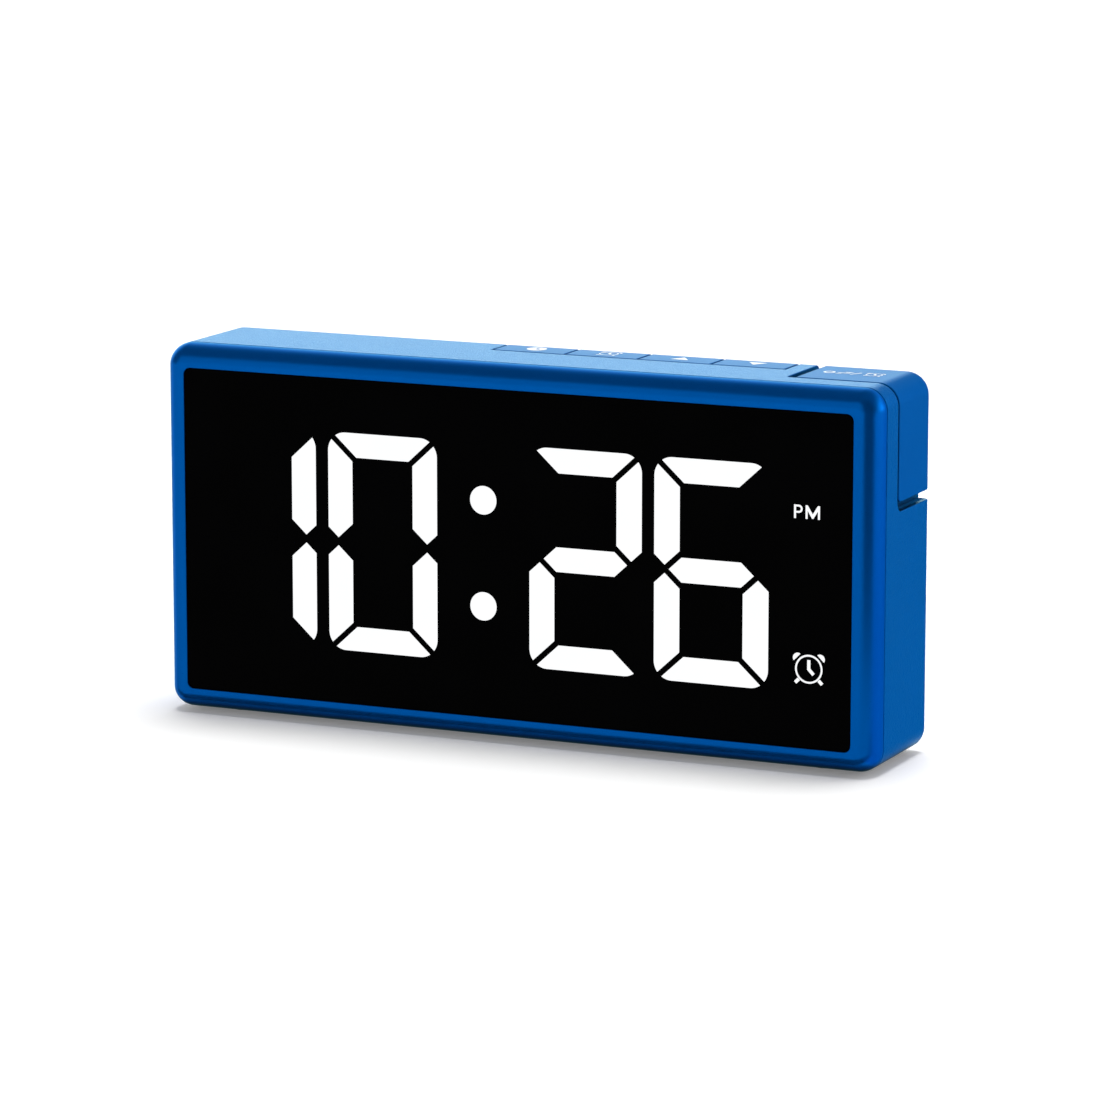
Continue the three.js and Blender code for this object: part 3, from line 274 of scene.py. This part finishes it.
def ribbed_cable(name):
    """Flat cable: conductors show as fine lines across its width."""
    m = Nodes(name)
    m.set(roughness=0.5)
    lines = m.add("ShaderNodeTexWave", {"Scale": 500.0}, bands_direction="X")
    m.link(m.coordinates(), "Object", lines, "Vector")
    m.colour(m.mix(lines, "Fac", (0.42, 0.41, 0.38), (0.62, 0.61, 0.57)))
    m.bump(lines, "Fac", 0.4, 0.05 * MM)
    return m.material


GRAINED_BLUE = moulded_blue("grained_blue", BLUE, 2600.0, 0.15 * MM, 0.32, 0.6, 0.26)
SATIN_BLUE = moulded_blue("satin_blue", BEZEL_BLUE, 5000.0, 0.005 * MM, 0.30, 0.74, 0.03)
KEY_BLUE = moulded_blue("key_blue", BLUE, 4200.0, 0.02 * MM, 0.39, 0.55, 0.1)
MATERIALS = {
    "case_blue": GRAINED_BLUE,
    "lens_black": gloss_black("window_black"),
    "adhesive": plain_plastic("foam_tape", (0.02, 0.02, 0.02), 0.9, 3000.0, 0.1 * MM),
    "diffuser_film": plain_plastic("frosted_film", (0.62, 0.64, 0.65), 0.45),
    "reflector_white": plain_plastic("white_plastic", (0.78, 0.78, 0.76), 0.55),
    "light_guide": lit_white("light_guide_white", 0.2),
    "circuit_board": solder_mask("solder_mask"),
    "steel": plated_steel("plated_steel"),
    "rubber": plain_plastic("rubber", (0.028, 0.028, 0.03), 0.85, 1800.0, 0.08 * MM),
    "black_plastic": plain_plastic("black_plastic", (0.014, 0.014, 0.015), 0.5),
    "cell_sleeve": plain_plastic("cell_sleeve", (0.36, 0.37, 0.39), 0.35, metallic=0.7),
    "ribbon": ribbed_cable("ribbon_grey"),
}
LIT = lit_white("lit_segment", 1.0)
INK = printed_white("printed_white")
CARD_BLACK = studio_card("card_black", (0.0, 0.0, 0.0))
CARD_GREY = studio_card("card_grey", (0.76, 0.76, 0.76))
CARD_BLUE = studio_card("card_blue", (0.0, 0.58, 0.90))

# ------------------------------------------------------------------ finish on the CAD nodes

EDGE_ROUND = {
    "rear_housing": 0.22 * MM, "front_bezel": 0.18 * MM, "snooze_cap": 0.28 * MM,
    "battery_door": 0.22 * MM, "display_lens": 0.12 * MM,
    **{key: 0.22 * MM for key in KEYS},
}
INNER_EDGE_ROUND = 0.08 * MM
WELD_REACH = 0.001 * MM
SKIN_DEPTH = 1.4 * MM  # the outline's round corners curve this far in from the sides
FACE_DEPTH = 0.1 * MM
OUTER_EDGES_ONLY = ["rear_housing", "front_bezel", "snooze_cap", "battery_door"]
FLAT = math.radians(1.5)
SHARP = math.radians(35)
NORMAL_WEIGHT = 50
SLOTS = {part["node"]: part["material_slot"] for part in frame["record"]["subparts"]}
OWN_FINISH = {"front_bezel": SATIN_BLUE, "snooze_cap": KEY_BLUE, **{key: KEY_BLUE for key in KEYS}}


def on_the_outside(point):
    """Whether a point lies on the case's outer skin, apart from the small holes of the grille."""
    if SPEAKER_LOW.x < point.x < SPEAKER_HIGH.x and SPEAKER_LOW.z < point.z < SPEAKER_HIGH.z:
        return False
    side = min(point.x - HOUSING_LOW.x, HOUSING_HIGH.x - point.x,
               point.z - HOUSING_LOW.z, HOUSING_HIGH.z - point.z)
    face = min(point.y - FRONT, HOUSING_HIGH.y - point.y)
    return side < SKIN_DEPTH or face < FACE_DEPTH


def mark_outer_edges(mesh):
    """Gives a bevel weight of 1 to the sharp edges on the outer skin and 0 to all others."""

    def spot(vertex):
        return tuple(round(c / WELD_REACH) for c in mesh.vertices[vertex].co)

    beside = {}
    for polygon in mesh.polygons:
        for a, b in polygon.edge_keys:
            beside.setdefault(frozenset((spot(a), spot(b))), []).append(polygon.normal)
    weights = mesh.attributes.new("bevel_weight_edge", "FLOAT", "EDGE")
    for edge in mesh.edges:
        normals = beside[frozenset(spot(vertex) for vertex in edge.vertices)]
        sharp = len(normals) > 1 and normals[0].angle(normals[1]) > SHARP
        outside = all(on_the_outside(mesh.vertices[vertex].co) for vertex in edge.vertices)
        weights.data[edge.index].value = float(sharp and outside)


def finish_node(name, obj):
    """Material, softened edges and smooth round faces for a node that stays as it is."""
    obj.data.materials.clear()
    obj.data.materials.append(OWN_FINISH.get(name) or MATERIALS[SLOTS[name]])
    weld = obj.modifiers.new("joined_corners", "WELD")
    weld.merge_threshold = WELD_REACH
    merge = obj.modifiers.new("flat_faces", "DECIMATE")
    merge.decimate_type = "DISSOLVE"
    merge.angle_limit = FLAT
    bevel = obj.modifiers.new("edges", "BEVEL")
    bevel.width = EDGE_ROUND.get(name, INNER_EDGE_ROUND)
    bevel.segments = 3 if name in EDGE_ROUND else 2
    if name in OUTER_EDGES_ONLY:
        mark_outer_edges(obj.data)
        bevel.limit_method = "WEIGHT"
        bevel.use_clamp_overlap = False
    else:
        bevel.limit_method = "ANGLE"
        bevel.angle_limit = SHARP
    for polygon in obj.data.polygons:
        polygon.use_smooth = True
    normals = obj.modifiers.new("shading", "WEIGHTED_NORMAL")
    normals.keep_sharp = True
    normals.weight = NORMAL_WEIGHT


for node_name, node in NODES.items():
    finish_node(node_name, node)

# ------------------------------------------------------------------ flat outlines (millimetres)

MITRE_LIMIT = 0.3  # keeps a very sharp corner from reaching too far


def circle(x, z, radius, steps=72):
    turns = [math.tau * i / steps for i in range(steps)]
    return [(x + radius * math.cos(t), z + radius * math.sin(t)) for t in turns]


def arc(x, z, radius, start, end, steps=24):
    turns = [math.radians(start + (end - start) * i / steps) for i in range(steps + 1)]
    return [(x + radius * math.cos(t), z + radius * math.sin(t)) for t in turns]


def rounded_box(width, height, radius, steps=24):
    """Outline from (0, -height / 2) to (width, height / 2)."""
    h = height / 2 - radius
    w = width - radius
    return (arc(w, h, radius, 0, 90, steps) + arc(radius, h, radius, 90, 180, steps)
            + arc(radius, -h, radius, 180, 270, steps) + arc(w, -h, radius, 270, 360, steps))


def stroke(points, width, closed=False):
    """Outline of a line of even width through the points, with mitred corners."""
    half = width / 2
    count = len(points)
    left, right = [], []
    for i, (x, z) in enumerate(points):
        before = Vector(points[i - 1]) if i or closed else None
        after = Vector(points[(i + 1) % count]) if i < count - 1 or closed else None
        here = Vector((x, z))
        a = (here - before).normalized() if before is not None else None
        b = (after - here).normalized() if after is not None else None
        a, b = a or b, b or a
        across = Vector((-(a.y + b.y), a.x + b.x)).normalized()
        reach = half / max(across.dot(Vector((-a.y, a.x))), MITRE_LIMIT)
        left.append(tuple(here + across * reach))
        right.append(tuple(here - across * reach))
    return (left, right) if closed else left + right[::-1]


def trim(outline, x, z, nx, nz, gap):
    """Keeps what lies behind the line through (x, z) with normal (nx, nz), set back by gap."""
    length = math.hypot(nx, nz)

    def over(point):
        return ((point[0] - x) * nx + (point[1] - z) * nz) / length + gap

    kept = []
    for point, following in zip(outline, outline[1:] + outline[:1]):
        here, there = over(point), over(following)
        if here <= 0:
            kept.append(point)
        if here * there < 0:
            share = here / (here - there)
            kept.append(tuple(p + (q - p) * share for p, q in zip(point, following)))
    return kept


def moved(outline, x, z):
    return [(px + x, pz + z) for px, pz in outline]


def scaled(loops, size, x, z):
    return [[(px * size + x, pz * size + z) for px, pz in loop] for loop in loops]


# ------------------------------------------------------------------ seven-segment digits

DIGIT_WIDTH = 24.15
DIGIT_HEIGHT = 44.4
DIGIT_CORNER = 3.8
UPRIGHT_BAR = 5.4
LEVEL_BAR = 4.95
SEGMENT_GAP = 1.2
ELBOW_INSET = 2.22
GUIDE_INSET = 0.1  # the light guides stand this far inside the lit outlines


def digit_segments():
    """The outlines of a digit's seven segments; left edge at 0, middle at z = 0."""
    w, h, run, rise = DIGIT_WIDTH, DIGIT_HEIGHT / 2, UPRIGHT_BAR, LEVEL_BAR
    mitre = SEGMENT_GAP / 2
    box = rounded_box(w, DIGIT_HEIGHT, DIGIT_CORNER)

    def cut(*lines):
        outline = box
        for line in lines:
            outline = trim(outline, *line)
        return outline

    top = cut((0, h - rise, 0, -1, 0), (0, h, -rise, -run, mitre), (w, h, rise, -run, mitre))
    upper_left = cut((run, 0, 1, 0, 0), (0, h, rise, run, mitre),
                     (ELBOW_INSET, 0, rise, -run, mitre), (ELBOW_INSET, 0, -rise, -run, mitre))
    middle = cut((0, rise / 2, 0, 1, 0), (0, -rise / 2, 0, -1, 0),
                 (ELBOW_INSET, 0, -rise, run, mitre), (ELBOW_INSET, 0, -rise, -run, mitre),
                 (w - ELBOW_INSET, 0, rise, run, mitre), (w - ELBOW_INSET, 0, rise, -run, mitre))

    def flip_x(outline):
        return [(w - x, z) for x, z in reversed(outline)]

    def flip_z(outline):
        return [(x, -z) for x, z in reversed(outline)]

    return {
        "top": top, "bottom": flip_z(top), "middle": middle,
        "upper_left": upper_left, "upper_right": flip_x(upper_left),
        "lower_left": flip_z(upper_left), "lower_right": flip_z(flip_x(upper_left)),
    }


SEGMENTS = digit_segments()
SHOWN = {  # 10:26
    "hour_tens": ["upper_right", "lower_right"],
    "hour": ["top", "upper_left", "upper_right", "lower_left", "lower_right", "bottom"],
    "minute_tens": ["top", "upper_right", "middle", "lower_left", "bottom"],
    "minute": ["top", "upper_left", "middle", "lower_left", "lower_right", "bottom"],
}

# ------------------------------------------------------------------ printed and lit plates

SAME_POINT = 1e-7


def plate(name, loops, level, thickness, face, material, body):
    """A thin plate with the given outlines (and holes) in it. level is how far its inner face is
    along the way it faces, which is "front" (-Y) or "top" (+Z)."""
    curve = bpy.data.curves.new(name, "CURVE")
    curve.dimensions = "2D"
    curve.fill_mode = "BOTH"
    curve.extrude = thickness * MM / 2
    for loop in loops:
        spline = curve.splines.new("POLY")
        spline.points.add(len(loop) - 1)
        for point, (x, z) in zip(spline.points, loop):
            point.co = (x * MM, z * MM, 0, 1)
        spline.use_cyclic_u = True
    shell = bpy.data.objects.new(name, curve)
    bpy.context.scene.collection.objects.link(shell)
    bpy.context.view_layer.update()
    mesh = bpy.data.meshes.new_from_object(shell)
    bpy.data.objects.remove(shell)
    middle = level + thickness * MM / 2
    turns = {
        "front": Matrix.Translation((0, -middle, 0)) @ Matrix.Rotation(math.pi / 2, 4, "X"),
        "top": Matrix.Translation((0, 0, middle)),
    }
    mesh.transform(turns[face])
    build = bmesh.new()
    build.from_mesh(mesh)
    bmesh.ops.remove_doubles(build, verts=build.verts, dist=SAME_POINT)
    bmesh.ops.recalc_face_normals(build, faces=build.faces)
    build.to_mesh(mesh)
    build.free()
    mesh.materials.clear()
    mesh.materials.append(material)
    piece = bpy.data.objects.new(name, mesh)
    bpy.context.scene.collection.objects.link(piece)
    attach(piece, body)


CASE = "case"
GRAPHIC_THICKNESS = 0.03
LENS_LEVEL = -LENS_FRONT
LENS_LEFT_MM = LENS_LOW.x / MM
LENS_BOTTOM_MM = LENS_LOW.z / MM


def lit_plate(name, loops):
    plate(name, loops, LENS_LEVEL, GRAPHIC_THICKNESS, "front", LIT, CASE)


for digit, shown in SHOWN.items():
    low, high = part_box(digit + "_light_guide")
    left = low.x / MM - GUIDE_INSET
    middle_z = (low.z + high.z) / 2 / MM
    lit_plate("lit_" + digit, [moved(SEGMENTS[segment], left, middle_z) for segment in shown])

COLON_RADIUS = 2.88
COLON_RISE = 10.7
colon_low, colon_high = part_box("colon_light_guide")
colon_x = (colon_low.x + colon_high.x) / 2 / MM
colon_z = (colon_low.z + colon_high.z) / 2 / MM
lit_plate("lit_colon", [
    circle(colon_x, colon_z + rise, COLON_RADIUS) for rise in (COLON_RISE, -COLON_RISE)])

# PM sign
PM_LEFT = LENS_LEFT_MM + 132.9
PM_BOTTOM = LENS_BOTTOM_MM + 45.17
PM_HEIGHT = 2.66
PM_STROKE = 0.42


def letter_p():
    bowl_bottom = PM_HEIGHT * 0.40
    bowl = (PM_HEIGHT - bowl_bottom) / 2
    bowl_x = 0.98
    middle = (PM_HEIGHT + bowl_bottom) / 2
    band = PM_STROKE * 0.9
    outer = [(0, 0), (PM_STROKE, 0), (PM_STROKE, bowl_bottom)]
    outer += arc(bowl_x, middle, bowl, -90, 90) + [(0, PM_HEIGHT)]
    inner = [(PM_STROKE, bowl_bottom + band)]
    inner += arc(bowl_x, middle, bowl - band, -90, 90)
    inner += [(PM_STROKE, PM_HEIGHT - band)]
    return [outer, inner]


def letter_m():
    left, width, height, upright = 2.4, 2.97, PM_HEIGHT, PM_STROKE
    middle = left + width / 2
    right = left + width
    shoulder = height - 1.05
    slope_top = upright * 1.05
    point_low, point_high, point_half = 0.1, 0.95, upright * 0.33
    return [
        (left, 0), (left + upright, 0), (left + upright, shoulder), (middle - point_half, point_low),
        (middle + point_half, point_low), (right - upright, shoulder), (right - upright, 0),
        (right, 0), (right, height), (right - slope_top, height),
        (middle, point_high), (left + slope_top, height), (left, height),
    ]


lit_plate("lit_pm_sign", [moved(loop, PM_LEFT, PM_BOTTOM) for loop in [*letter_p(), letter_m()]])


def alarm_clock():
    """A small alarm clock about 7 wide: ring, hands, two bells and two feet."""
    ring, band, hand_width, foot_width = 3.0, 0.38, 0.7, 0.72
    bell, bell_x, bell_z, bell_half_turn = 1.05, 2.45, 2.2, 80
    loops = [circle(0, 0, ring), circle(0, 0, ring - band)]
    loops.append(stroke([(0, 1.9), (0, 0), (1.05, -1.1)], hand_width))
    for side in (-1, 1):
        tilt = 90 - side * 45
        loops.append(arc(side * bell_x, bell_z, bell, tilt - bell_half_turn, tilt + bell_half_turn, 20))
        loops.append(stroke([(side * 2.17, -2.2), (side * 2.95, -2.98)], foot_width))
    return loops


ALARM_X = LENS_LEFT_MM + 136.25
ALARM_Z = LENS_BOTTOM_MM + 15.66
ALARM_SIZE = 0.95
lit_plate("lit_alarm_sign", scaled(alarm_clock(), ALARM_SIZE, ALARM_X, ALARM_Z))

# Printed signs on the keys and the snooze cap: an outline's x and z are the object's X and Y
PRINT_THICKNESS = 0.02
SIGN_Y = 10.3
KEY_ALARM_SIZE = 0.66
DIAL_RADIUS = 2.05
DIAL_HANDS = [(0, 1.35), (0, -0.1), (0.95, -0.75)]
DIAL_HAND_WIDTH = 0.42
ARROW_HALF = 1.95
ARROW_BASE = 1.35
ARROW_TIP = 1.5
LETTER_STROKE = 0.22  # as a share of the letter's size


def dial():
    """A filled clock face with its hands left out."""
    return [circle(0, 0, DIAL_RADIUS), stroke(DIAL_HANDS, DIAL_HAND_WIDTH)]


def arrow_head(direction):
    """A filled triangle that points up for 1 and down for -1."""
    base = -ARROW_BASE * direction
    return [[(-ARROW_HALF, base), (ARROW_HALF, base), (0, ARROW_TIP * direction)]]


def letter_z(size):
    return stroke([(0, size), (size, size), (0, 0), (size, 0)], size * LETTER_STROKE)


KEY_SIGNS = {
    "clock_key": dial(),
    "alarm_key": scaled(alarm_clock(), KEY_ALARM_SIZE, 0, 0),
    "up_key": arrow_head(1),
    "down_key": arrow_head(-1),
}
for key, sign in KEY_SIGNS.items():
    low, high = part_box(key)
    key_x = (low.x + high.x) / 2 / MM
    plate(key + "_sign", scaled(sign, 1.0, key_x, SIGN_Y), high.z, PRINT_THICKNESS, "top", INK,
          key + "_body")

# The snooze sign from left to right: a ring, two letters z, a slash and a small alarm clock
SNOOZE_SIGN_Y = 6.15
RING_X = 59.5
RING_RADII = (1.2, 0.76)
LETTERS_Z = [(1.05, 61.3, -1.0), (1.3, 62.6, -0.3)]  # size, x and y of each
SLASH = [(64.3, -1.25), (65.8, 1.25)]
SLASH_WIDTH = 0.4
SNOOZE_ALARM_SIZE = 0.56
SNOOZE_ALARM_X = 68.85
SNOOZE_SIGN = (
    [circle(RING_X, 0, radius) for radius in RING_RADII]
    + [moved(letter_z(size), x, y) for size, x, y in LETTERS_Z]
    + [stroke(SLASH, SLASH_WIDTH)]
    + scaled(alarm_clock(), SNOOZE_ALARM_SIZE, SNOOZE_ALARM_X, 0)
)
plate("snooze_sign", [moved(loop, 0, SNOOZE_SIGN_Y) for loop in SNOOZE_SIGN], CAP_HIGH.z,
      PRINT_THICKNESS, "top", INK, "snooze_body")

# ------------------------------------------------------------------ floor and light

UP = Vector((0, 0, 1))
FORWARD = Vector((0, -1, 0))
FLOOR_SIZE = 80
FLOOR_WHITE = (0.92, 0.92, 0.92)
FLOOR_GLOW = 0.17
CARD_LIFT = 0.05 * MM
FLAG = {"yaw": 52, "distance": 0.12, "width": 0.15, "height": 0.3}
# the black strip on the floor right in front is painted shadow, seen only in reflections
SHADOW_STRIP_DEPTH = 0.005
SHADOW_STRIP_WIDTH = 0.3
MAT_DEPTH = 1.0
MAT_WIDTH = 1.6
SIDE_CARD = {"width": 0.35, "depth": 0.6, "y": 0.28}
BACK_CARD = {"width": 0.7, "height": 0.4, "x": 0.28, "y": 0.58}
LIGHTS = [  # name, yaw, elevation and width in degrees, strength, whether it shows in reflections
    ("overhead", 170, 84, 26, 2.3, False),
    ("low_front", -16, 20, 64, 0.52, True),
    ("low_right", 120, 12, 40, 0.05, True),
]
LIGHT_DISTANCE = 3
ROOM_GLOW = 0.10
WALL_GLOW = 3.2
WALL_SIDES = (0.0, 0.7)  # a direction's Y where the wall starts to show, and where it is brightest
WALL_TOP = (0.15, 0.85)  # a direction's Z where it starts to fade out, and where it has gone


def towards_point(yaw, elevation):
    """The direction to a point at yaw (from -Y towards +X) and elevation, in degrees."""
    turn, rise = math.radians(yaw), math.radians(elevation)
    flat = math.cos(rise)
    return Vector((math.sin(turn) * flat, -math.cos(turn) * flat, math.sin(rise)))


def make_floor():
    bpy.ops.mesh.primitive_plane_add(size=FLOOR_SIZE)
    floor = bpy.context.object
    floor.name = "floor"
    m = Nodes("floor_white")
    m.set(color=FLOOR_WHITE, roughness=1.0, specular=0.0, emission=(1, 1, 1), strength=FLOOR_GLOW)
    floor.data.materials.append(m.material)


def make_card(name, material, middle, facing, width, height):
    """A card that only shows as a reflection in the object."""
    bpy.ops.mesh.primitive_plane_add(size=1, location=middle)
    card = bpy.context.object
    card.name = name
    card.rotation_euler = facing.to_track_quat("Z", "Y").to_euler()
    card.scale = (width, height, 1)
    card.data.materials.append(material)
    card.visible_camera = False
    card.visible_diffuse = False
    card.visible_shadow = False
    card.visible_transmission = False


def make_cards():
    """A black one upright beyond the right front edge, a black strip and then a grey mat on the floor
    in front, and two blue ones beyond the right side:
    one on the floor and one upright behind it. The black strip is painted shadow: in reflections it
    stands for the floor's contact shadow."""
    towards = towards_point(FLAG["yaw"], 0)
    corner = Vector((BEZEL_HIGH.x, FRONT, FLAG["height"] / 2))
    make_card("upright_card", CARD_BLACK, corner + towards * FLAG["distance"], towards,
              FLAG["width"], FLAG["height"])
    # painted shadow: a black strip, seen only in reflections, over the floor's contact shadow right in
    # front of the object
    shadow_strip_y = FRONT - SHADOW_STRIP_DEPTH / 2
    make_card("front_shadow_strip", CARD_BLACK, Vector((0, shadow_strip_y, CARD_LIFT)), UP, SHADOW_STRIP_WIDTH, SHADOW_STRIP_DEPTH)
    mat_y = FRONT - SHADOW_STRIP_DEPTH - MAT_DEPTH / 2
    make_card("front_mat", CARD_GREY, Vector((0, mat_y, CARD_LIFT)), UP, MAT_WIDTH, MAT_DEPTH)
    side_x = BEZEL_HIGH.x + SIDE_CARD["width"] / 2
    make_card("side_card", CARD_BLUE, Vector((side_x, SIDE_CARD["y"], CARD_LIFT)), UP,
              SIDE_CARD["width"], SIDE_CARD["depth"])
    back_middle = Vector((BACK_CARD["x"], BACK_CARD["y"], BACK_CARD["height"] / 2))
    make_card("back_card", CARD_BLUE, back_middle, FORWARD, BACK_CARD["width"], BACK_CARD["height"])


def soft_sun(name, yaw, elevation, width, strength, mirrored):
    """A soft light at infinity."""
    data = bpy.data.lights.new(name, "SUN")
    data.energy = strength
    data.angle = math.radians(width)
    light = bpy.data.objects.new(name, data)
    bpy.context.scene.collection.objects.link(light)
    towards = towards_point(yaw, elevation)
    light.location = towards * LIGHT_DISTANCE
    light.rotation_euler = towards.to_track_quat("Z", "Y").to_euler()
    light.visible_glossy = mirrored


def make_world():
    """A dim room with a wide bright wall behind the object that fades out upwards."""
    world = bpy.data.worlds.new("studio")
    bpy.context.scene.world = world
    world.use_nodes = True
    tree = world.node_tree
    direction = tree.nodes.new("ShaderNodeTexCoord")
    parts = tree.nodes.new("ShaderNodeSeparateXYZ")
    tree.links.new(direction.outputs["Generated"], parts.inputs[0])

    def fade(axis, start, end, low, high):
        node = tree.nodes.new("ShaderNodeMapRange")
        node.interpolation_type = "SMOOTHSTEP"
        for socket, value in zip(("From Min", "From Max", "To Min", "To Max"), (start, end, low, high)):
            node.inputs[socket].default_value = value
        tree.links.new(parts.outputs[axis], node.inputs["Value"])
        return node

    wall = tree.nodes.new("ShaderNodeMath")
    wall.operation = "MULTIPLY"
    tree.links.new(fade("Y", *WALL_SIDES, 0.0, WALL_GLOW).outputs[0], wall.inputs[0])
    tree.links.new(fade("Z", *WALL_TOP, 1.0, 0.0).outputs[0], wall.inputs[1])
    total = tree.nodes.new("ShaderNodeMath")
    total.inputs[1].default_value = ROOM_GLOW
    tree.links.new(wall.outputs[0], total.inputs[0])
    tree.links.new(total.outputs[0], tree.nodes["Background"].inputs["Strength"])
    tree.nodes["Background"].inputs["Color"].default_value = (1, 1, 1, 1)


make_floor()
make_cards()
for settings in LIGHTS:
    soft_sun(*settings)
make_world()
bpy.context.scene.view_settings.view_transform = "Standard"
